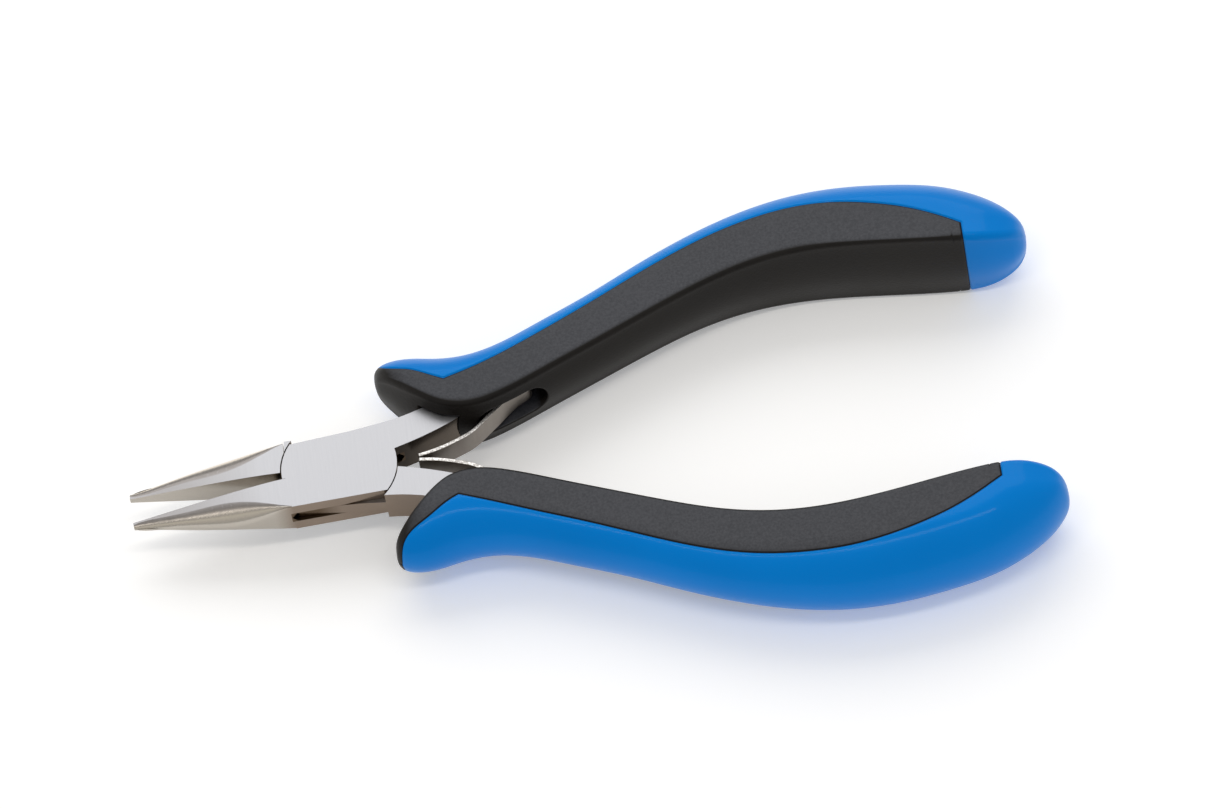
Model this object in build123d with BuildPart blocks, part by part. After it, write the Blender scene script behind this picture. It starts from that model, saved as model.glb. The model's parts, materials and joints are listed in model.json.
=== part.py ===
from build123d import *
import os
from math import cos, radians, sin, sqrt

os.makedirs("parts", exist_ok=True)

# Box-joint pliers with chain-nose jaws, two leaf springs and two-colour grips.
# Millimetres. X runs from the jaw tips (-X) to the grip ends (+X), +Z is up, and the
# two halves open in the XY plane. All sketches are drawn about the joint's pivot.

# ---- frame: the origin is the centre of the footprint, on the surface the grips lie on
PIVOT_X = -37.47
REST_HEIGHT = 7.6            # joint's mid-plane above that surface
OPENING = 9.0                # degrees between the two halves at the sprung-open rest
OUTER_JAW_ANGLE = 4.75       # degrees from the middle line to each jaw's flat face, at rest
INNER_JAW_ANGLE = 2.95

# ---- steel halves
STEEL = 6.0                  # thickness of the joint and of the tangs
CHEEK_R = 8.7                # round ends of the cheeks, about the pivot
RECESS_R = 8.9               # recess of the inner half, that the cheeks turn in
WEB = 2.0                    # thickness of the inner half's web
SLOT = 2.1                   # slot between the cheeks of the outer half
SLOT_R = 9.3                 # reach of the slot's parallel walls from the pivot
SLOT_POINT_R = 10.0          # reach of the slot's pointed end
PIN_R = 2.0
PIN_RUNNING = 0.03           # radial clearance of the pin in the web

# Jaw stations: x from the pivot, width, half thickness, and how far the rounding of the
# outside reaches across the width and down the thickness
JAW = [
    (-8.2, 5.27, STEEL / 2, 0.25, 0.25),
    (-10.5, 5.12, 2.95, 1.00, 0.90),
    (-14.6, 4.92, 2.66, 2.60, 2.10),
    (-20.6, 3.78, 2.00, 2.55, 1.90),
    (-26.5, 2.27, 1.20, 1.55, 1.15),
    (-31.9, 0.97, 0.46, 0.60, 0.42),
]
JAW_ROOT_X, JAW_ROOT_WIDTH = JAW[0][0], JAW[0][1]

# ---- leaf springs
LEAF_THICK = 0.6
LEAF_WIDTH = 4.1
EYE_PIN_R = 0.6
EYE_RUNNING = 0.04           # radial clearance of the rolled eye on its pin
EYE_PIN_LENGTH = 9.0
EYE = (28.66, 10.97)         # axis of the upper spring's pin, from the pivot
LEAF_SLOPE = radians(31)     # of the strip where it reaches its rolled eye

# ---- grips
GRIP_HALF = REST_HEIGHT      # the palm swell is ground flat to this half thickness
CORE_HALF = 4.1              # half thickness of the hard core under the soft inlay
RIDGE_R = 1.1                # rounded ridges along the inner side
INNER_BULGE = 0.75           # how far the inner side swells between its ridges
POCKET_HALF = 3.05           # half height of the spring's pocket
POCKET_LENGTH = 11.7
POCKET_X = 26.65             # middle of the pocket, from the pivot
POCKET_FLOOR = 13.0          # its floor, at the tang's inner edge

# Grip stations: x from the pivot, inner side, crest line, outer side, half thickness
GRIP = [
    (6.8, 14.9, 15.7, 16.7, 2.1),
    (8.5, 12.9, 14.3, 17.7, 4.6),
    (10.5, 10.9, 12.7, 18.1, 5.9),
    (13.3, 8.4, 11.4, 17.8, 6.5),
    (16.3, 6.4, 10.7, 17.1, 6.5),
    (20.0, 5.6, 11.0, 16.9, 6.1),
    (25.0, 6.6, 12.4, 17.8, 5.7),
    (32.0, 9.5, 15.2, 20.7, 5.6),
    (40.0, 13.0, 18.8, 24.2, 5.6),
    (48.0, 16.5, 22.6, 28.3, 5.7),
    (56.0, 19.7, 26.0, 32.0, 6.0),
    (64.0, 21.9, 27.9, 34.5, 6.8),
    (72.0, 22.8, 28.5, 35.9, 7.4),
    (80.0, 22.3, 28.3, 36.2, 7.8),
    (88.0, 21.3, 27.2, 35.2, 7.9),
    (95.0, 20.4, 25.6, 33.6, 7.7),
    (100.0, 20.0, 24.2, 31.4, 7.0),
    (103.8, 20.5, 23.8, 28.8, 5.6),
    (106.0, 21.6, 23.6, 26.3, 3.8),
    (106.8, 22.5, 23.6, 25.0, 1.9),
]

MID = Plane(origin=(PIVOT_X, 0, REST_HEIGHT))
OUTER = MID.rotated((0, 0, OPENING / 2))


def across(plane, x):
    """Plane across the part at x: its own x is the part's width, its y the height."""
    return Plane(origin=plane.from_local_coords((x, 0, 0)), x_dir=plane.y_dir, z_dir=plane.x_dir)


def on_circle(radius, y, side):
    return (side * sqrt(radius**2 - y**2), y)


def tang_end():
    """The tang of one half, drawn closed: down its inner edge and back up the outer one."""
    Spline(
        on_circle(CHEEK_R, 0.95, 1), (12.2, 1.7), (15.5, 2.6), (18.6, 3.7), (23.6, 6.7),
        (30.9, 11.1), (41.2, 14.2), (57.7, 19.7), (73.9, 21.9), (87.9, 20.4),
    )
    Line((87.9, 20.4), (88.2, 24.0))
    Spline(
        (88.2, 24.0), (74.3, 25.9), (58.0, 23.7), (41.5, 18.0), (31.2, 14.2),
        (25.0, 11.3), (18.7, 8.5), (13.0, 6.7), (7.4, 5.95),
    )


def jaw_section(width, half, reach, drop):
    """Flat inner face, flat top and bottom, and an outside rounded as quarters of an ellipse."""
    Line((0, half), (0, -half))
    Line((0, -half), (reach - width, -half))
    EllipticalCenterArc((reach - width, drop - half), reach, drop, 180, arc_size=90)
    Line((-width, drop - half), (-width, half - drop))
    EllipticalCenterArc((reach - width, half - drop), reach, drop, 90, arc_size=90)
    Line((reach - width, half), (0, half))


def grip_section(inner, crest, outer, half):
    """Flat top and bottom, a half-round outer side and a slightly swollen inner side."""
    ridge = min(RIDGE_R, 0.6 * (crest - inner))
    shoulder = half - ridge
    turn = ridge * (1 - cos(radians(45)))
    Line((inner + ridge, half), (crest, half))
    ThreePointArc((crest, half), (outer, 0), (crest, -half))
    Line((crest, -half), (inner + ridge, -half))
    ThreePointArc((inner + ridge, -half), (inner + turn, turn - half), (inner, -shoulder))
    ThreePointArc((inner, -shoulder), (inner - INNER_BULGE, 0), (inner, shoulder))
    ThreePointArc((inner, shoulder), (inner + turn, half - turn), (inner + ridge, half))


def jaw(angle):
    """The jaw of one half, lofted through its stations along a line at that angle."""
    plane = MID.rotated((0, 0, angle))
    with BuildPart() as tapered:
        for x, *shape in JAW:
            with BuildSketch(across(plane, x)):
                with BuildLine():
                    jaw_section(*shape)
                make_face()
        loft()
    return tapered.part


# ---------------------------------------------------------------- blank of one half
with BuildPart() as blank:
    with BuildSketch(OUTER):
        with BuildLine():
            tang_end()
            Line((7.4, 5.95), (2.8, 5.72))
            Line((2.8, 5.72), on_circle(CHEEK_R, 5.75, -1))
            RadiusArc(on_circle(CHEEK_R, 5.75, -1), (-CHEEK_R, 0), -CHEEK_R)
            Line((-CHEEK_R, 0), (JAW_ROOT_X, 0))
            Line((JAW_ROOT_X, 0), (JAW_ROOT_X, -JAW_ROOT_WIDTH))
            Line((JAW_ROOT_X, -JAW_ROOT_WIDTH), on_circle(CHEEK_R, -6.05, 1))
            RadiusArc(on_circle(CHEEK_R, -6.05, 1), on_circle(CHEEK_R, 0.95, 1), -CHEEK_R)
        make_face()
    extrude(amount=STEEL / 2, both=True)

# ---------------------------------------------------------------- outer half: cheeks
with BuildPart() as outer_half:
    add(blank.part)
    add(jaw(OUTER_JAW_ANGLE))
    with BuildSketch(Plane(origin=MID.origin, x_dir=(1, 0, 0), z_dir=(0, -1, 0))):
        Polygon(
            (0, -SLOT / 2), (SLOT_R, -SLOT / 2), (SLOT_POINT_R, 0), (SLOT_R, SLOT / 2),
            (0, SLOT / 2), align=None,
        )
    revolve(axis=Axis(MID.origin, (0, 0, 1)), mode=Mode.SUBTRACT)
    with Locations(MID):
        Cylinder(PIN_R, STEEL, mode=Mode.SUBTRACT)

# ---------------------------------------------------------------- inner half: web
with BuildPart() as inner_half:
    mirror(blank.part, about=Plane.XZ)
    mirror(jaw(INNER_JAW_ANGLE), about=Plane.XZ)
    for side in (1, -1):
        with Locations(MID.offset(side * (STEEL + WEB) / 2)):
            Cylinder(RECESS_R, STEEL, mode=Mode.SUBTRACT)
    with Locations(MID):
        Cylinder(PIN_R + PIN_RUNNING, STEEL, mode=Mode.SUBTRACT)

# ---------------------------------------------------------------- pivot pin
with BuildPart() as pivot_pin:
    with Locations(MID):
        Cylinder(PIN_R, STEEL)

# ---------------------------------------------------------------- leaf spring and its pin
with BuildPart() as upper_leaf_spring:
    eye_mid_r = EYE_PIN_R + EYE_RUNNING + LEAF_THICK / 2
    with BuildSketch(MID):
        with BuildLine():
            touch = (EYE[0] + eye_mid_r * sin(LEAF_SLOPE), EYE[1] - eye_mid_r * cos(LEAF_SLOPE))
            Spline(
                (11.9, 0.38), (14.9, 0.95), (18.3, 2.12), (20.1, 2.95), (22.3, 4.7), (24.9, 7.0),
                (27.3, 9.08), touch,
                tangents=[(1, 0.12), (cos(LEAF_SLOPE), sin(LEAF_SLOPE))],
            )
        trace(line_width=LEAF_THICK)
        with Locations(EYE):
            Circle(eye_mid_r + LEAF_THICK / 2)
            Circle(eye_mid_r - LEAF_THICK / 2, mode=Mode.SUBTRACT)
    extrude(amount=LEAF_WIDTH / 2, both=True)

with BuildPart() as upper_spring_pin:
    with Locations(MID.from_local_coords(Vector(*EYE, 0))):
        Cylinder(EYE_PIN_R, EYE_PIN_LENGTH)

# ---------------------------------------------------------------- grip, in two colours
with BuildPart() as grip_body:
    for x, *shape in GRIP:
        with BuildSketch(across(MID, x)):
            with BuildLine():
                grip_section(*shape)
            make_face()
    loft()
    with Locations(MID):
        Box(400, 400, 2 * GRIP_HALF, mode=Mode.INTERSECT)

# Soft inlay: everything inside the colour line, less the hard core round the tang
with BuildPart() as inlay_blank:
    add(grip_body.part)
    with BuildSketch(MID):
        with BuildLine():
            Spline((6.6, 19.5), (8.3, 15.2), (12.5, 13.3), (15.2, 11.6), (17.3, 10.5))
            Spline(
                (17.3, 10.5), (28.6, 15.1), (42.0, 21.4), (56.0, 27.7), (68.0, 30.6),
                (76.0, 30.8), (85.0, 28.9), (92.0, 26.2), (97.2, 23.1),
            )
            Polyline((97.2, 23.1), (97.7, 15.0), (4.0, 0.0), (4.0, 19.5), (6.6, 19.5))
        make_face()
    extrude(amount=2 * GRIP_HALF, both=True, mode=Mode.INTERSECT)
    with BuildSketch(MID):
        with BuildLine():
            Spline(
                (9.3, 15.6), (12.1, 12.3), (17.3, 8.7), (23.5, 7.9), (30.0, 9.3),
                (40.0, 14.8), (56.0, 21.8), (72.0, 25.2), (88.0, 24.1), (95.2, 23.0),
            )
            Polyline((95.2, 23.0), (95.2, 45.0), (9.3, 45.0), (9.3, 15.6))
        make_face()
    extrude(amount=CORE_HALF, both=True, mode=Mode.SUBTRACT)

# Pocket of the leaf spring, cut across the grip from its inner side
POCKET_AXIS = MID.from_local_coords((POCKET_X, 0, 0))
with BuildPart() as pocket:
    with BuildSketch(Plane(origin=POCKET_AXIS, x_dir=(1, 0, 0), z_dir=(0, 1, 0))):
        SlotOverall(POCKET_LENGTH, 2 * POCKET_HALF)
    extrude(amount=POCKET_FLOOR)

with BuildPart() as upper_grip_inlay:
    add(inlay_blank.part)
    for space in (outer_half, pocket, upper_spring_pin):
        add(space.part, mode=Mode.SUBTRACT)

with BuildPart() as upper_grip_shell:
    add(grip_body.part)
    for space in (inlay_blank, outer_half, pocket, upper_spring_pin):
        add(space.part, mode=Mode.SUBTRACT)

# ---------------------------------------------------------------- the lower side mirrors the upper
with BuildPart() as lower_leaf_spring:
    mirror(upper_leaf_spring.part, about=Plane.XZ)
with BuildPart() as lower_spring_pin:
    mirror(upper_spring_pin.part, about=Plane.XZ)
with BuildPart() as lower_grip_inlay:
    mirror(upper_grip_inlay.part, about=Plane.XZ)
with BuildPart() as lower_grip_shell:
    mirror(upper_grip_shell.part, about=Plane.XZ)

# ---------------------------------------------------------------- labels and files
PIECES = {
    "outer_half": outer_half,
    "inner_half": inner_half,
    "pivot_pin": pivot_pin,
    "upper_leaf_spring": upper_leaf_spring,
    "lower_leaf_spring": lower_leaf_spring,
    "upper_spring_pin": upper_spring_pin,
    "lower_spring_pin": lower_spring_pin,
    "upper_grip_shell": upper_grip_shell,
    "lower_grip_shell": lower_grip_shell,
    "upper_grip_inlay": upper_grip_inlay,
    "lower_grip_inlay": lower_grip_inlay,
}
for label, piece in PIECES.items():
    piece.part.label = label
    export_step(piece.part, f"parts/{label}.step")
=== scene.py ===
import json
from math import cos, radians, sin

import bpy
import numpy as np
from mathutils import Matrix, Vector


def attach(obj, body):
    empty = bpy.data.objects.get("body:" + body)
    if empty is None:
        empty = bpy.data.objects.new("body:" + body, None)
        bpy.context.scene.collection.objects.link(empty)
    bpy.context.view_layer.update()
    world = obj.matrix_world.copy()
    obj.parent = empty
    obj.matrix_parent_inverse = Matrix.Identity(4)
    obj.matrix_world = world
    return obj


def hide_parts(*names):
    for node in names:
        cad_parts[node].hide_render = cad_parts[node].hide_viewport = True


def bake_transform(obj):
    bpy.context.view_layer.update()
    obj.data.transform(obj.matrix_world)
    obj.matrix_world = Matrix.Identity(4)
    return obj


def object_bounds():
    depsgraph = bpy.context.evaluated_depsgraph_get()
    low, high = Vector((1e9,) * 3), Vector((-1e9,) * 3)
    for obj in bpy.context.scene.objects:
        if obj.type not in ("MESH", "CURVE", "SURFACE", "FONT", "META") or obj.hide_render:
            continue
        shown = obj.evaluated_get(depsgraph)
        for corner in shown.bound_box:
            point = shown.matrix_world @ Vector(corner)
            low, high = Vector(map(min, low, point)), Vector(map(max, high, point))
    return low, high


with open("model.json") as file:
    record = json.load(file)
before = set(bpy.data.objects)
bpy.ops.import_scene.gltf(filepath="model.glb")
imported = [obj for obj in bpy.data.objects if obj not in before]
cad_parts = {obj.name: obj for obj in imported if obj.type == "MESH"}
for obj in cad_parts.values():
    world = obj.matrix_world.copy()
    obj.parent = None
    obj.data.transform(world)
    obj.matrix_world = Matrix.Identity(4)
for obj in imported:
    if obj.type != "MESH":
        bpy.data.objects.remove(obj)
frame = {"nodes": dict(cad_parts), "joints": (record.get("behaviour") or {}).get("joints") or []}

CAD_BOX = [list(corner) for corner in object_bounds()]
MM = 0.001
JOINTS = {joint["name"]: joint for joint in frame["joints"]}
PIVOT = Vector(JOINTS["box_joint"]["pos_m"])


def place(x, y):
    """A point on the joint's mid-plane, given in millimetres from its pivot."""
    return PIVOT + Vector((x, y, 0)) * MM


# ------------------------------------------------------------------ meshes
def new_mesh(name, vertices, faces, body, material):
    """A smooth mesh piece from points in millimetres about the pivot."""
    mesh = bpy.data.meshes.new(name)
    points = np.asarray(vertices, float) * MM + np.array(PIVOT)
    mesh.from_pydata(points.tolist(), [], faces)
    mesh.validate()
    mesh.polygons.foreach_set("use_smooth", [True] * len(mesh.polygons))
    mesh.materials.append(material)
    piece = bpy.data.objects.new(name, mesh)
    bpy.context.scene.collection.objects.link(piece)
    if body:
        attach(piece, body)
    return piece


def tube_faces(rings, around, flip):
    """Faces between closed rings of points, with both ends capped."""
    faces = []
    for i in range(rings - 1):
        for j in range(around):
            k = (j + 1) % around
            quad = (i * around + j, i * around + k, (i + 1) * around + k, (i + 1) * around + j)
            faces.append(quad[::-1] if flip else quad)
    first = tuple(range(around))
    last = tuple((rings - 1) * around + j for j in range(around))
    faces.append(first if flip else first[::-1])
    faces.append(last[::-1] if flip else last)
    return faces


def smooth_curve(knots, values, at):
    """Natural cubic spline through the values at the knots."""
    knots, values, at = (np.asarray(v, float) for v in (knots, values, at))
    n = len(knots)
    step = np.diff(knots)
    system = np.eye(n)
    target = np.zeros(n)
    for i in range(1, n - 1):
        system[i, i - 1] = step[i - 1]
        system[i, i] = 2 * (step[i - 1] + step[i])
        system[i, i + 1] = step[i]
        after = (values[i + 1] - values[i]) / step[i]
        before = (values[i] - values[i - 1]) / step[i - 1]
        target[i] = 6 * (after - before)
    bend = np.linalg.solve(system, target)
    i = np.clip(np.searchsorted(knots, at) - 1, 0, n - 2)
    h, a, b = step[i], knots[i + 1] - at, at - knots[i]
    return (
        bend[i] * a**3 / (6 * h) + bend[i + 1] * b**3 / (6 * h)
        + (values[i] / h - bend[i] * h / 6) * a + (values[i + 1] / h - bend[i + 1] * h / 6) * b
    )


def ease(t):
    """A smooth step from 0 to 1."""
    t = np.clip(t, 0, 1)
    return t * t * (3 - 2 * t)


def running_length(line):
    """Distance along a line of points, from its first point to each one."""
    return np.concatenate([[0], np.cumsum(np.linalg.norm(np.diff(line, axis=0), axis=1))])


def spread(start, end, first, last, count):
    """Values from start to end whose spacing changes evenly in the ratio of first to last."""
    weight = np.linspace(first, last, count)
    run = np.concatenate([[0], np.cumsum((weight[1:] + weight[:-1]) / 2)])
    return start + (end - start) * run / run[-1]


def joined(*runs):
    """One row of values from runs that each start where the last one ends."""
    return np.concatenate([runs[0]] + [run[1:] for run in runs[1:]])


# ------------------------------------------------------------------ grips
# Stations along one grip: x from the pivot, inner side, crest, outer side, half thickness
GRIP = np.array([
    (6.72, 15.3, 15.6, 16.2, 0.5), (6.95, 14.6, 15.4, 16.9, 2.1), (7.5, 13.9, 15.0, 17.4, 3.3),
    (8.6, 12.8, 14.2, 17.8, 4.5), (10.5, 10.9, 12.7, 18.05, 5.6), (13.3, 8.4, 11.4, 17.75, 6.35),
    (16.3, 6.4, 10.7, 17.15, 6.45), (20.0, 5.6, 11.0, 16.95, 6.1), (25.0, 6.6, 12.4, 17.9, 5.72),
    (32.0, 9.5, 15.3, 20.75, 5.6), (40.0, 13.0, 18.9, 24.3, 5.6), (48.0, 16.5, 22.6, 28.35, 5.7),
    (56.0, 19.7, 25.9, 31.9, 6.05), (64.0, 21.9, 27.9, 34.5, 6.75), (72.0, 22.7, 28.7, 35.95, 7.4),
    (80.0, 22.3, 28.4, 36.1, 7.75), (88.0, 21.3, 27.2, 35.15, 7.85), (95.0, 20.4, 25.7, 33.5, 7.7),
    (100.0, 20.0, 24.2, 31.25, 7.0), (103.8, 20.5, 23.8, 28.5, 5.5), (106.0, 21.6, 23.5, 26.0, 3.6),
    (106.65, 22.6, 23.5, 24.8, 1.7), (106.8, 23.5, 23.6, 23.7, 0.15),
])
FRONT_X, REAR_X = GRIP[0, 0], GRIP[-1, 0]
LAND = 7.6                   # half thickness at the flat lands of the palm swell
LAND_EASE = 0.3              # over which the swell flattens into them
RIDGE_R = 1.15               # rounding between the inner side and the broad faces
BULGE = 0.8                  # swelling of the inner side
BULGE_FULL = 5.0             # half thickness from which the swelling is whole
# Points on each stretch of the section: inner side, rounding, broad face and outer side
SIDE_POINTS, CORNER_POINTS, FACE_POINTS, ROUND_POINTS = 60, 39, 59, 159

# The colour line between inlay and shell, seen in plan
CAP_X = 97.4                 # seam across the inner side, where the end cap starts
V_X, V_Y = 17.3, 10.5        # point of the line behind the flare
FRONT_LINE = [
    (6.8, 19.5), (7.55, 17.1), (8.6, 15.5), (9.9, 14.6), (12.5, 13.35), (15.2, 11.65), (V_X, V_Y),
]
LONG_LINE = [
    (V_X, V_Y), (22.1, 12.3), (28.6, 15.1), (35.5, 18.25), (42.0, 21.4), (49.0, 24.8), (56.0, 27.7),
    (62.0, 29.5), (68.0, 30.55), (75.0, 30.8), (80.0, 30.15), (85.0, 28.9), (90.0, 27.1), (93.5, 25.35),
    (98.5, 22.3),
]
GROOVE = 0.16                # depth of the groove along the seam
GROOVE_WIDE = 0.28           # its width on either side of the seam
SHORTEST_SEAM = 0.12         # an inlay narrower than this is left out
FAR = 99.0                   # a distance that no groove reaches
HIDDEN_GAP = 0.01            # of each hidden wall from the seam
CAP_STEP = 0.02              # from the inlay's last ring to the cap's first one

# Pocket of the leaf spring, a slot with round ends in the inner side
POCKET_X, POCKET_HALF_LONG, POCKET_HALF, POCKET_FLOOR = 26.65, 5.85, 3.05, 12.5
POCKET_STRAIGHT = POCKET_HALF_LONG - POCKET_HALF
LIP_R = 0.25                 # rounding of its rim
WALL_END = 0.8               # distance from the rim at which the mesh has turned down its wall

# Mouth of the grip, round the tang
HALF_OPEN = radians(4.5)     # turn of each tang from the position that its outline is given in
TANG_INNER = [(8.65, 0.95), (12.2, 1.7), (15.5, 2.6), (18.6, 3.7), (23.6, 6.7), (30.9, 11.1)]
TANG_OUTER = [(7.4, 5.95), (13.0, 6.7), (18.7, 8.5), (25.0, 11.3), (31.2, 14.2)]
TANG_HALF = 3.0
TANG_COS = 0.87              # from a gap across the tool to one square to the tang
MOUTH_GAP = 0.22
MOUTH_EASE = 0.12            # over which the gap falls away
MOUTH_PUSH = (1.36, 0.8)     # how far the gap is pressed in, along and across the tool
MOUTH_END = (21.5, 9.6)      # where the gap stops, along and across the tool
MOUTH_NOTCH = 0.45           # the wider gap above the tang, at the front
NOTCH_X, NOTCH_LONG = 10.5, 3.0
POCKET_END = 40.0            # behind this, the inner side is plain


def colour_line(x):
    """How far out the line between the two colours lies at x."""
    line = np.array(FRONT_LINE if x < V_X else LONG_LINE)
    return float(smooth_curve(line[:, 0], line[:, 1], [x])[0])


def station_curves(x):
    """Inner side, crest, outer side and half thickness at each x."""
    run = running_length(GRIP[:, [0, 1, 3, 4]])
    fine = np.linspace(0, run[-1], 4000)
    along = np.maximum.accumulate(smooth_curve(run, GRIP[:, 0], fine))
    return [np.interp(x, along, smooth_curve(run, GRIP[:, k], fine)) for k in (1, 2, 3, 4)]


def section(inner, crest, outer, half):
    """Upper half of the outline, from the middle of the inner side to the middle of the outer one."""
    ridge = min(RIDGE_R, 0.6 * (crest - inner), 0.5 * half)
    shoulder = half - ridge
    t = np.linspace(0, 1, SIDE_POINTS)
    swelling = BULGE * min(1, half / BULGE_FULL) * np.cos(t * np.pi / 2) ** 1.3
    side = np.column_stack([inner - swelling, shoulder * t])
    a = np.linspace(0, np.pi / 2, CORNER_POINTS + 1)[1:]
    corner = np.column_stack([inner + ridge * (1 - np.cos(a)), shoulder + ridge * np.sin(a)])
    across = np.linspace(inner + ridge, crest, FACE_POINTS + 1)[1:]
    face = np.column_stack([across, np.full(FACE_POINTS, half)])
    back = np.linspace(0, np.pi / 2, ROUND_POINTS + 1)[1:]
    round_side = np.column_stack([crest + (outer - crest) * np.sin(back), half * np.cos(back)])
    line = np.vstack([side, corner, face, round_side])
    height = line[:, 1]
    start = LAND - LAND_EASE
    flattened = start + LAND_EASE * np.tanh((height - start) / LAND_EASE)
    line[:, 1] = np.where(height > start, flattened, height)
    return line


def slot_distance(x, z):
    """Signed distance in the plane of the inner side from the pocket's rim, negative inside."""
    return np.hypot(np.maximum(np.abs(x - POCKET_X) - POCKET_STRAIGHT, 0), z) - POCKET_HALF


def sink_pocket(points):
    """Presses the points of the inner side that lie over the pocket down to its floor."""
    x, y, z = points.T
    deep = -slot_distance(x, z)
    inside = (deep > 0) & (y < POCKET_FLOOR)
    nearest = np.clip(x - POCKET_X, -POCKET_STRAIGHT, POCKET_STRAIGHT) + POCKET_X
    away = np.column_stack([x - nearest, z])
    length = np.maximum(np.linalg.norm(away, axis=1), 1e-6)
    turn = np.clip(deep / LIP_R, 0, 1) * np.pi / 2
    on_lip = LIP_R * np.sin(turn)
    on_floor = LIP_R + (deep - WALL_END) * (POCKET_HALF - LIP_R) / (POCKET_HALF - WALL_END)
    inward = np.where(deep < LIP_R, on_lip, np.where(deep < WALL_END, LIP_R, on_floor))
    lowered = y + LIP_R * (1 - np.cos(turn))
    share = ease((deep - LIP_R) / (WALL_END - LIP_R))
    target = np.where(deep < LIP_R, lowered, lowered + (POCKET_FLOOR - lowered) * share)
    scale = (POCKET_HALF - inward) / length
    moved = points.copy()
    moved[inside, 0] = (nearest + away[:, 0] * scale)[inside]
    moved[inside, 2] = (away[:, 1] * scale)[inside]
    moved[inside, 1] = target[inside]
    return moved


def turned(points, angle):
    """Points in plan turned about the pivot, as a row of x and a row of y."""
    x, y = np.array(points).T
    return x * cos(angle) - y * sin(angle), x * sin(angle) + y * cos(angle)


def open_mouth(points):
    """Presses the points round the tang inward, so that it enters the grip through a dark gap."""
    x, y, z = points.T
    below = np.interp(x, *turned(TANG_INNER, HALF_OPEN)) - y
    above = y - np.interp(x, *turned(TANG_OUTER, HALF_OPEN))
    notch = MOUTH_NOTCH * (1 - ease((x - NOTCH_X) / NOTCH_LONG))
    across = np.maximum(below + 0.8 * MOUTH_GAP, above - notch) * TANG_COS
    distance = np.maximum(across, np.abs(z) - TANG_HALF)
    share = ease((MOUTH_GAP + MOUTH_EASE - distance) / (2 * MOUTH_EASE))
    share = share * (x < MOUTH_END[0]) * (y < MOUTH_END[1])
    moved = points.copy()
    moved[:, 0] += MOUTH_PUSH[0] * share
    moved[:, 1] += MOUTH_PUSH[1] * share
    return moved


def resample(line, run, at):
    """Points of the outline at given distances along it."""
    return np.column_stack([np.interp(at, run, line[:, k]) for k in (0, 1)])


def seam_at(line, run, level):
    """Distance along the outline at which it crosses the colour line on its broad or outer side."""
    y = np.maximum.accumulate(line[:, 0])
    return float(np.interp(level, y + np.arange(len(y)) * 1e-9, run))


# Stations of the rings, closest together at the front, the mouth, the pocket's ends and the cap
GRIP_STEPS = joined(
    spread(FRONT_X, 9.0, 0.03, 0.2, 24), spread(9.0, 13.0, 0.3, 0.12, 18), np.linspace(13.0, 19.6, 56),
    spread(19.6, 21.2, 0.12, 0.1, 14), np.linspace(21.2, 23.4, 26), np.linspace(23.4, 30.6, 32),
    np.linspace(30.6, 32.8, 26), spread(32.8, 95.0, 0.3, 0.5, 150), spread(95.0, CAP_X, 0.3, 0.06, 16),
)
CAP_STEPS = joined(
    spread(CAP_X + CAP_STEP, 98.2, 0.05, 0.15, 10), spread(98.2, 105.0, 0.4, 0.2, 28),
    spread(105.0, REAR_X, 0.12, 0.01, 26),
)
# Heights just inside and outside the pocket's rim, and their largest shares of the half thickness
POCKET_BAND = [(2.5, 0.55), (3.55, 0.8)]
# Largest shares of the way to the seam, for the marks of a ring whose seam is close
TIGHT_SHARES = np.array([0, 0.25, 0.4, 0.5, 0.7, 0.85])
# Points laid from each mark to the next, on either side of the seam
INNER_COUNTS = (12, 14, 9, 12, 10, 8, 7)
OUTER_COUNTS = (7, 44)


def inner_steps(seam, line, run):
    """Distances along the half outline, from the middle of the inner side to the seam."""
    half = line[SIDE_POINTS - 1, 1]
    band = [min(height, share * half) for height, share in POCKET_BAND]
    rim = np.interp(band, line[:SIDE_POINTS, 1], run[:SIDE_POINTS])
    shoulder, ridge = run[SIDE_POINTS - 1], run[SIDE_POINTS + CORNER_POINTS - 1]
    marks = np.array([0, *rim, shoulder, ridge, ridge + 0.6 * (seam - ridge)])
    if seam < 1.3 * ridge:
        marks = np.minimum.accumulate(np.minimum(marks, seam * TIGHT_SHARES)[::-1])[::-1]
    near = max(seam - GROOVE_WIDE, (marks[-1] + seam) / 2)
    stops = [*marks, near, seam]
    return joined(*(np.linspace(*ends) for ends in zip(stops, stops[1:], INNER_COUNTS)))


def outer_steps(seam, end):
    """Distances along the half outline, from the seam to the middle of the outer side."""
    near = min(seam + GROOVE_WIDE, (seam + end) / 2)
    return joined(np.linspace(seam, near, OUTER_COUNTS[0]), np.linspace(near, end, OUTER_COUNTS[1]))


def dip(distance):
    """How far the surface turns in at that distance from a seam."""
    return GROOVE * (1 - ease(distance / GROOVE_WIDE))


def sunk(flat, distance):
    """An open outline in its plane, pressed into the groove by its distance from the seam."""
    along = np.gradient(flat, axis=0)
    normal = np.column_stack([along[:, 1], -along[:, 0]])
    normal = normal / np.maximum(np.linalg.norm(normal, axis=1), 1e-9)[:, None]
    return flat + normal * dip(distance)[:, None]


def at_station(x, flat):
    """Points of an outline, set up at its station."""
    return np.column_stack([np.full(len(flat), x), flat])


def hidden_wall(x, y, heights):
    """The face of the inlay or the shell that looks at the other one, inside the grip."""
    return np.column_stack([np.full(len(heights), x), np.full(len(heights), y), heights])


def closed_ring(half):
    """A whole ring from its upper half."""
    lower = half[1:-1] * (1, 1, -1)
    return np.vstack([half, lower[::-1]])


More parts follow.
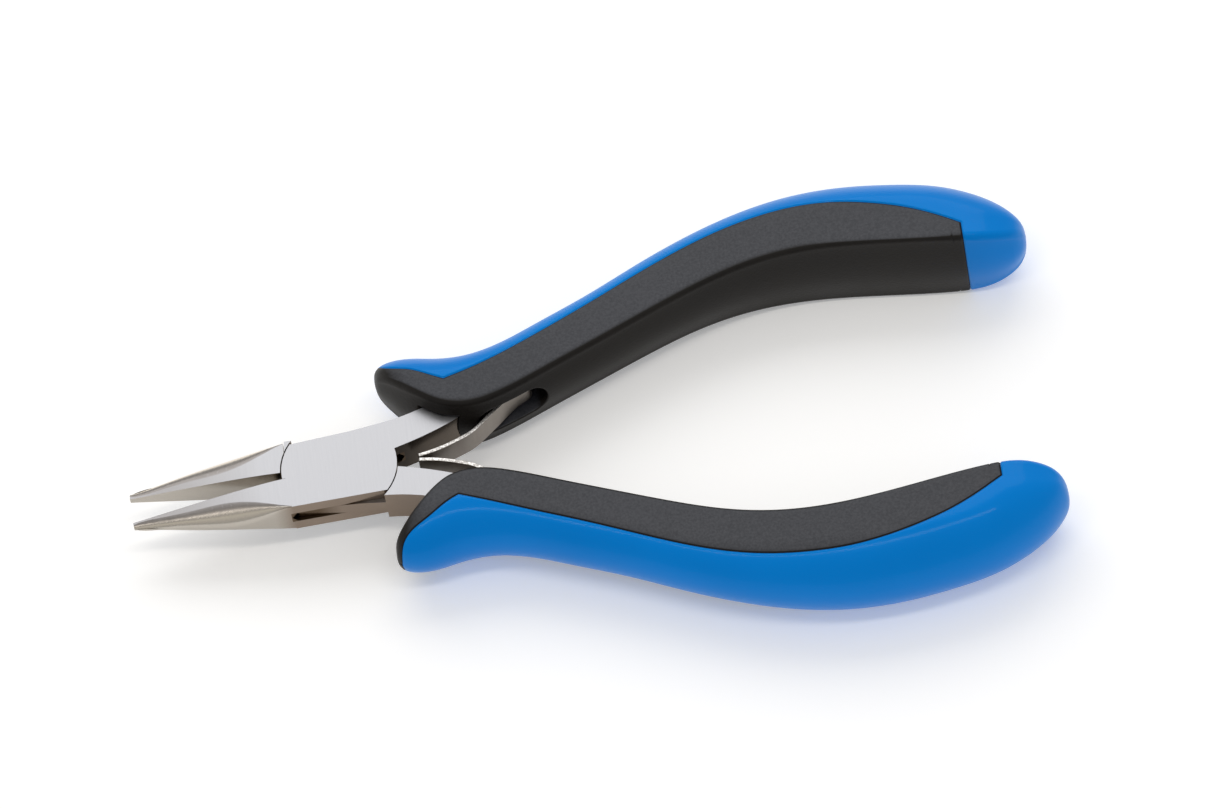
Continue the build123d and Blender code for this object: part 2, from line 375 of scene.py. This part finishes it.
def inlay_ring(x, flat, to_seam):
    """Ring of the inlay at x, with the groove, the pocket and the mouth pressed in."""
    flat = sunk(flat, np.minimum(to_seam, CAP_X - x))
    y, z = flat[-1]
    half = at_station(x, flat)
    if x < POCKET_END:
        half = open_mouth(sink_pocket(half))
    return closed_ring(np.vstack([half, hidden_wall(x, y - HIDDEN_GAP, z * np.linspace(0.8, 0, 5))]))


def shell_ring(x, outer, inner, has_inlay):
    """Ring of the shell at x, closed by its hidden wall or, at the ends, by its own inner side."""
    half = at_station(x, outer)[::-1]
    if has_inlay:
        y, z = outer[0]
        wall = hidden_wall(x, y + HIDDEN_GAP, z * np.linspace(0.85, 0, len(inner) - 1))
    else:
        wall = at_station(x, inner)[::-1][1:]
    return closed_ring(np.vstack([half, wall]))


def grip_rings():
    """Closed rings of points for the black inlay and for the blue shell of the upper grip."""
    inlay, shell = [], []
    stations = np.concatenate([GRIP_STEPS, CAP_STEPS])
    for x, *sizes in np.column_stack([stations, *station_curves(stations)]):
        cap = x > CAP_X
        line = section(*sizes)
        run = running_length(line)
        level = colour_line(min(x, CAP_X))
        has_inlay = not cap and level > line[0, 0] + SHORTEST_SEAM
        least = 0.004 * run[-1]
        seam = max(seam_at(line, run, level), least) if has_inlay or cap else least
        inner_at, outer_at = inner_steps(seam, line, run), outer_steps(seam, run[-1])
        inner, outer = resample(line, run, inner_at), resample(line, run, outer_at)
        behind = x - CAP_X if cap else FAR
        if cap:
            from_seam = np.hypot(outer_at - seam, behind)
        else:
            from_seam = outer_at - seam if has_inlay else np.full(len(outer_at), FAR)
        if has_inlay:
            inlay.append(inlay_ring(x, inner, seam - inner_at))
        inner = sunk(inner, np.full(len(inner), behind))
        shell.append(shell_ring(x, sunk(outer, from_seam), inner, has_inlay))
    return inlay, shell


def grip_piece(name, rings, node, body, material, sign, flip):
    """The inlay or the shell of one grip. The lower grip mirrors the upper one."""
    points = np.vstack(rings) * (1, sign, 1)
    faces = tube_faces(len(rings), len(rings[0]), flip)
    piece = new_mesh(name, points, faces, body, material)
    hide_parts(node)


# ------------------------------------------------------------------ leaf springs
LEAF_LINE = [
    (11.9, 0.38), (13.3, 0.6), (14.9, 0.95), (18.3, 2.12),
    (20.1, 2.95), (22.3, 4.7), (24.9, 7.0), (27.3, 9.08),
]
LEAF_SLOPE = radians(31)     # of the strip where it meets its roll
EYE = Vector(JOINTS["upper_leaf_flex"]["pos_m"]) - PIVOT
EYE_X, EYE_Y = EYE.x / MM, EYE.y / MM
ROLL_R = 0.94                # middle of the strip round the pin
ROLL_TURN = radians(282)
LEAF_HALF_WIDE, LEAF_HALF_THICK, LEAF_EDGE_R = 2.05, 0.3, 0.09


def leaf_path():
    """Middle of the strip in plan, from its free end to the end of its roll."""
    start = -(np.pi / 2 - LEAF_SLOPE)
    touch = (EYE_X + ROLL_R * cos(start), EYE_Y + ROLL_R * sin(start))
    knots = np.array(LEAF_LINE + [touch])
    run = running_length(knots)
    at = np.linspace(0, run[-1], 90)
    strip = np.column_stack([smooth_curve(run, knots[:, k], at) for k in (0, 1)])
    turn = start + np.linspace(0, ROLL_TURN, 60)[1:]
    roll = np.column_stack([EYE_X + ROLL_R * np.cos(turn), EYE_Y + ROLL_R * np.sin(turn)])
    return np.vstack([strip, roll])


def leaf_outline():
    """Outline of the strip's section: across its thickness and its width."""
    points = []
    for n, (sx, sy) in enumerate([(1, 1), (-1, 1), (-1, -1), (1, -1)]):
        for a in np.linspace(0, np.pi / 2, 5) + n * np.pi / 2:
            points.append((
                sx * (LEAF_HALF_THICK - LEAF_EDGE_R) + LEAF_EDGE_R * cos(a),
                sy * (LEAF_HALF_WIDE - LEAF_EDGE_R) + LEAF_EDGE_R * sin(a),
            ))
    return points


def leaf_piece(side, sign, material):
    """A leaf spring, held in its grip and bending towards its free end."""
    path = leaf_path()
    along = np.gradient(path, axis=0)
    along /= np.linalg.norm(along, axis=1)[:, None]
    outline = leaf_outline()
    rings = []
    for (x, y), (dx, dy) in zip(path, along):
        for across, up in outline:
            rings.append((x - dy * across, (y + dx * across) * sign, up))
    faces = tube_faces(len(path), len(outline), sign < 0)
    piece = new_mesh(f"{side}_leaf", rings, faces, None, material)
    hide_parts(f"{side}_leaf_spring")
    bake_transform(piece)


# ------------------------------------------------------------------ materials
class Nodes:
    """A short way to write a node tree."""

    def __init__(self, name):
        self.material = bpy.data.materials.new(name)
        self.material.use_nodes = True
        self.tree = self.material.node_tree
        self.shader = self.tree.nodes["Principled BSDF"]

    def add(self, kind, inputs=(), **settings):
        node = self.tree.nodes.new(kind)
        for key, value in settings.items():
            setattr(node, key, value)
        for key, value in dict(inputs).items():
            self.put(node.inputs[key], value)
        return node

    def put(self, socket, value):
        if isinstance(value, bpy.types.NodeSocket):
            self.tree.links.new(value, socket)
        else:
            socket.default_value = value

    def set(self, **inputs):
        for key, value in inputs.items():
            self.put(self.shader.inputs[key.replace("_", " ")], value)

    def position(self, stretch=(1, 1, 1), turn=0.0):
        place_at = self.add("ShaderNodeTexCoord").outputs["Object"]
        mapping = self.add("ShaderNodeMapping", {"Vector": place_at})
        mapping.inputs["Scale"].default_value = stretch
        mapping.inputs["Rotation"].default_value = (0, 0, turn)
        return mapping.outputs["Vector"]

    def noise(self, scale, detail=3.0, rough=0.5, stretch=(1, 1, 1), turn=0.0):
        return self.add(
            "ShaderNodeTexNoise",
            {"Vector": self.position(stretch, turn), "Scale": scale, "Detail": detail, "Roughness": rough},
        ).outputs["Fac"]

    def ramp(self, value, low, high, start=0.3, end=0.7):
        """low up to start, high from end on, and an even change between."""
        return self.add(
            "ShaderNodeMapRange",
            {"Value": value, "From Min": start, "From Max": end, "To Min": low, "To Max": high},
        ).outputs["Result"]

    def mix(self, share, first, second):
        node = self.add("ShaderNodeMix", data_type="RGBA")
        self.put(node.inputs[0], share)
        self.put(node.inputs[6], first)
        self.put(node.inputs[7], second)
        return node.outputs[2]

    def math(self, operation, first, second=0.0):
        node = self.add("ShaderNodeMath", operation=operation)
        self.put(node.inputs[0], first)
        self.put(node.inputs[1], second)
        return node.outputs[0]

    def bump(self, height, strength, distance):
        node = self.add("ShaderNodeBump", {"Height": height, "Strength": strength, "Distance": distance})
        self.put(self.shader.inputs["Normal"], node.outputs["Normal"])

    def facing(self):
        """How far faces look up or down, and which way they look across the tool."""
        normal = self.add("ShaderNodeNewGeometry").outputs["Normal"]
        parts = self.add("ShaderNodeSeparateXYZ", {"Vector": normal}).outputs
        return self.math("ABSOLUTE", parts["Z"]), parts["Y"]

    def about_pivot(self):
        """x, y and z from the joint's pivot, in millimetres."""
        where = self.add("ShaderNodeTexCoord").outputs["Object"]
        offset = self.add("ShaderNodeVectorMath", {0: where, 1: PIVOT}, operation="SUBTRACT")
        per_mm = {0: offset.outputs[0], 1: (1 / MM,) * 3}
        scaled = self.add("ShaderNodeVectorMath", per_mm, operation="MULTIPLY")
        parts = self.add("ShaderNodeSeparateXYZ", {"Vector": scaled.outputs[0]}).outputs
        return parts["X"], parts["Y"], parts["Z"]

    def times(self, *values):
        """The product of its values."""
        product = values[0]
        for value in values[1:]:
            product = self.math("MULTIPLY", product, value)
        return product


def colour(r, g, b):
    return (r, g, b, 1.0)


BRUSHED = radians(-9)        # direction of the grinding lines
EDGE = 0.02                  # over which the joint's walls change to ground steel
# Reach of each half's hidden walls from the pivot, and half their height
SLOT_REACH, SLOT_HALF = 10.03, 1.07
WEB_REACH, WEB_HALF = 8.88, 1.02


def joint_walls(n, sign, reach, half, flat):
    """Where a half's walls lie inside the joint. The web's sides stay clean where they show."""
    x, y, z = n.about_pivot()
    radius = n.math("SQRT", n.math("ADD", n.times(x, x), n.times(y, y)))
    middle = n.ramp(n.math("ABSOLUTE", z), 1.0, 0.0, half, half + EDGE)
    walls = n.times(middle, n.ramp(radius, 1.0, 0.0, reach, reach + EDGE))
    if sign > 0:
        return walls
    front = n.ramp(x, 1.0, 0.0, -4.0, -0.5)
    return n.times(walls, n.math("MAXIMUM", flat, front), n.ramp(x, 1.0, 0.35, 1.0, 4.0))


def steel_material(name, sign, reach, half):
    """Ground faces, polished jaws, satin sides, and brown oily walls deep inside the joint."""
    n = Nodes(name)
    brush = n.noise(900, 3.0, 0.65, (1.0, 0.05, 1.0), BRUSHED)
    fine = n.noise(3200, 2.0, 0.6, (1.0, 0.04, 1.0), BRUSHED)
    broad = n.noise(60, 2.0, 0.5)
    patches = n.ramp(broad, 0.0, 1.0)
    lines = n.math("ADD", n.math("MULTIPLY", brush, 0.5), n.math("MULTIPLY", fine, 0.5))
    x = n.about_pivot()[0]
    up, across = n.facing()
    flat = n.ramp(up, 0.0, 1.0, 0.80, 0.985)
    jaw = n.ramp(x, 1.0, 0.0, -10.5, -7.5)

    # Sides: satin at the joint, polished on the jaws, dark between the tangs
    satin = n.mix(patches, colour(0.225, 0.175, 0.135), colour(0.285, 0.225, 0.178))
    polished = n.mix(patches, colour(0.43, 0.395, 0.35), colour(0.50, 0.465, 0.415))
    sides = n.mix(jaw, satin, polished)
    towards_other = n.ramp(n.math("MULTIPLY", across, -sign), 0.0, 1.0, 0.2, 0.6)
    inside = n.times(towards_other, n.ramp(x, 0.0, 1.0, 7.8, 8.6))
    corner_fade = n.ramp(x, 0.0, 1.0, 9.5, 14.0)
    corner = n.mix(corner_fade, colour(0.06, 0.048, 0.038), colour(0.14, 0.116, 0.094))
    sides = n.mix(inside, sides, corner)

    # Rounded back of the jaws: a bright ridge, and a dark band between it and the flat face
    ridge = n.times(jaw, n.ramp(up, 0.0, 1.0, 0.45, 0.75))
    sides = n.mix(ridge, sides, colour(0.78, 0.70, 0.58))
    band = n.times(jaw, n.ramp(up, 0.0, 1.0, 0.78, 0.95), n.ramp(up, 1.0, 0.0, 0.985, 0.998))

    face_lines = n.ramp(lines, 0.0, 1.0, 0.35, 0.65)
    face = n.mix(face_lines, colour(0.38, 0.38, 0.395), colour(0.42, 0.42, 0.435))
    base = n.mix(flat, sides, face)
    base = n.mix(n.math("MULTIPLY", band, 0.75), base, colour(0.20, 0.175, 0.155))
    base = n.mix(joint_walls(n, sign, reach, half, flat), base, colour(0.11, 0.075, 0.045))
    n.set(Base_Color=base, Metallic=1.0)
    n.set(Roughness=n.math("ADD", n.ramp(lines, 0.18, 0.26), n.ramp(flat, 0.0, 0.14, 0, 1)))
    n.bump(n.times(lines, n.ramp(flat, 0.3, 1.0)), 0.25, 0.00002)
    return n.material


def blue_material():
    """Smooth blue moulding with a faint sheen."""
    n = Nodes("blue_moulding")
    broad = n.noise(45, 3.0, 0.5)
    fine = n.noise(1400, 3.0, 0.6)
    base = n.mix(n.ramp(broad, 0.0, 1.0), colour(0.0, 0.198, 0.64), colour(0.0, 0.216, 0.69))
    n.set(Base_Color=base, Roughness=n.ramp(broad, 0.30, 0.38))
    n.set(Specular_IOR_Level=0.22, Specular_Tint=colour(0.1, 0.5, 1.0))
    n.set(Coat_Weight=0.09, Coat_Roughness=0.07)
    n.bump(fine, 0.25, 0.00002)
    return n.material


def black_material():
    """Grained broad faces and darker, smoother sides."""
    n = Nodes("black_inlay")
    broad = n.noise(70, 4.0, 0.6)
    grain = n.noise(2600, 2.0, 0.6)
    up, _ = n.facing()
    flat = n.ramp(up, 0.0, 1.0, 0.82, 0.97)
    speckle = n.math("ADD", n.math("MULTIPLY", broad, 0.4), n.math("MULTIPLY", grain, 0.6))
    speckle = n.ramp(speckle, 0.0, 1.0, 0.38, 0.62)
    face = n.mix(speckle, colour(0.018, 0.020, 0.027), colour(0.042, 0.044, 0.053))
    side = n.mix(n.ramp(broad, 0.0, 1.0), colour(0.009, 0.0075, 0.0065), colour(0.014, 0.012, 0.010))
    n.set(
        Base_Color=n.mix(flat, side, face),
        Roughness=n.math("ADD", n.ramp(broad, 0.40, 0.50), n.ramp(flat, 0.0, 0.12, 0, 1)),
        Specular_IOR_Level=n.ramp(flat, 0.2, 0.5, 0, 1),
    )
    n.bump(grain, 0.7, 0.00005)
    return n.material


def leaf_material():
    """Rolled grey faces and bright, torn sheared edges."""
    n = Nodes("spring_strip")
    long = n.noise(700, 2.0, 0.5, (1.0, 1.0, 0.08))
    torn = n.noise(3500, 3.0, 0.7)
    up, _ = n.facing()
    edge = n.ramp(up, 0.0, 1.0, 0.82, 0.97)
    face = n.mix(n.ramp(long, 0.0, 1.0), colour(0.27, 0.24, 0.215), colour(0.34, 0.31, 0.28))
    tears = n.ramp(torn, 0.0, 1.0, 0.4, 0.6)
    sheared = n.mix(tears, colour(0.35, 0.33, 0.31), colour(0.85, 0.83, 0.80))
    n.set(Base_Color=n.mix(edge, face, sheared), Metallic=1.0, Roughness=n.ramp(long, 0.36, 0.5))
    n.bump(torn, 0.3, 0.00004)
    return n.material


OUTER_STEEL = steel_material("outer_half_steel", 1, SLOT_REACH, SLOT_HALF)
INNER_STEEL = steel_material("inner_half_steel", -1, WEB_REACH, WEB_HALF)
BLUE = blue_material()
BLACK = black_material()
LEAF = leaf_material()


def paint(node, material):
    """Gives a CAD node its material."""
    piece = frame["nodes"][node]
    piece.data.materials.clear()
    piece.data.materials.append(material)


for node in ("outer_half", "pivot_pin", "upper_spring_pin"):
    paint(node, OUTER_STEEL)
for node in ("inner_half", "lower_spring_pin"):
    paint(node, INNER_STEEL)

inlay_rings, shell_rings = grip_rings()
for side, sign, body in (("upper", 1, "outer_body"), ("lower", -1, "inner_body")):
    inlay, shell = f"{side}_grip_inlay", f"{side}_grip_shell"
    grip_piece(f"{side}_inlay", inlay_rings, inlay, body, BLACK, sign, sign > 0)
    grip_piece(f"{side}_shell", shell_rings, shell, body, BLUE, sign, sign < 0)
    leaf_piece(side, sign, LEAF)


# ------------------------------------------------------------------ floor, light and camera
def area_light(name, where, size, power, tint):
    """A rectangular light that looks at the origin."""
    lamp = bpy.data.lights.new(name, "AREA")
    lamp.shape = "RECTANGLE"
    lamp.size, lamp.size_y = size
    lamp.energy = power
    lamp.color = tint
    holder = bpy.data.objects.new(name, lamp)
    holder.location = where
    holder.rotation_euler = (-Vector(where)).to_track_quat("-Z", "Y").to_euler()
    bpy.context.scene.collection.objects.link(holder)


FLOOR_SIZE, FLOOR_GAP = 6.0, 0.0002
bpy.ops.mesh.primitive_plane_add(size=FLOOR_SIZE, location=(0, 0, CAD_BOX[0][2] - FLOOR_GAP))
floor = bpy.context.active_object
floor.name = "floor"
paper = Nodes("floor_paper")
paper.set(Base_Color=colour(0.95, 0.95, 0.95), Roughness=0.9)
paper.set(Emission_Color=colour(1.0, 1.0, 1.0), Emission_Strength=0.22)
floor.data.materials.append(paper.material)

world = bpy.data.worlds.new("studio")
bpy.context.scene.world = world
world.use_nodes = True
sky = world.node_tree.nodes["Background"]
sky.inputs["Color"].default_value = colour(1.0, 1.0, 1.0)
sky.inputs["Strength"].default_value = 0.5
area_light("back_softbox", (0.0, 0.60, 0.66), (1.1, 0.6), 3.4, (1.0, 1.0, 1.0))
area_light("front_strip", (0.0, -0.28, 1.34), (1.2, 0.16), 3.4, (1.0, 0.95, 0.87))

TILT = 34.0                  # camera's tilt from straight down, degrees
SWING = -2.405               # its bearing
ROLL = -11.0                 # its turn about its own axis
DISTANCE = 1.7964
CENTRE = (40.844, 5.405)     # what it looks at, on the joint's mid-plane
SENSOR, LENS = 36.0, 355.848
FAR_CLIP = 10.0


def studio_camera():
    """A long lens that looks down at the tool from its front, with the jaws to the left."""
    tilt, swing, roll = radians(TILT), radians(SWING), radians(ROLL)
    forward = Vector((sin(swing) * sin(tilt), cos(swing) * sin(tilt), -cos(tilt)))
    right = Vector((cos(swing), -sin(swing), 0))
    up = right.cross(forward)
    axis_x = right * cos(roll) + up * sin(roll)
    axis_y = up * cos(roll) - right * sin(roll)
    where = place(*CENTRE) - forward * DISTANCE
    camera = bpy.data.objects.new("camera", bpy.data.cameras.new("camera"))
    turn = Matrix((axis_x, axis_y, -forward)).transposed()
    camera.matrix_world = Matrix.Translation(where) @ turn.to_4x4()
    camera.data.sensor_width = SENSOR
    camera.data.lens = LENS
    camera.data.clip_end = FAR_CLIP
    bpy.context.scene.collection.objects.link(camera)
    bpy.context.scene.camera = camera


studio_camera()
bpy.context.scene.view_settings.view_transform = "Standard"
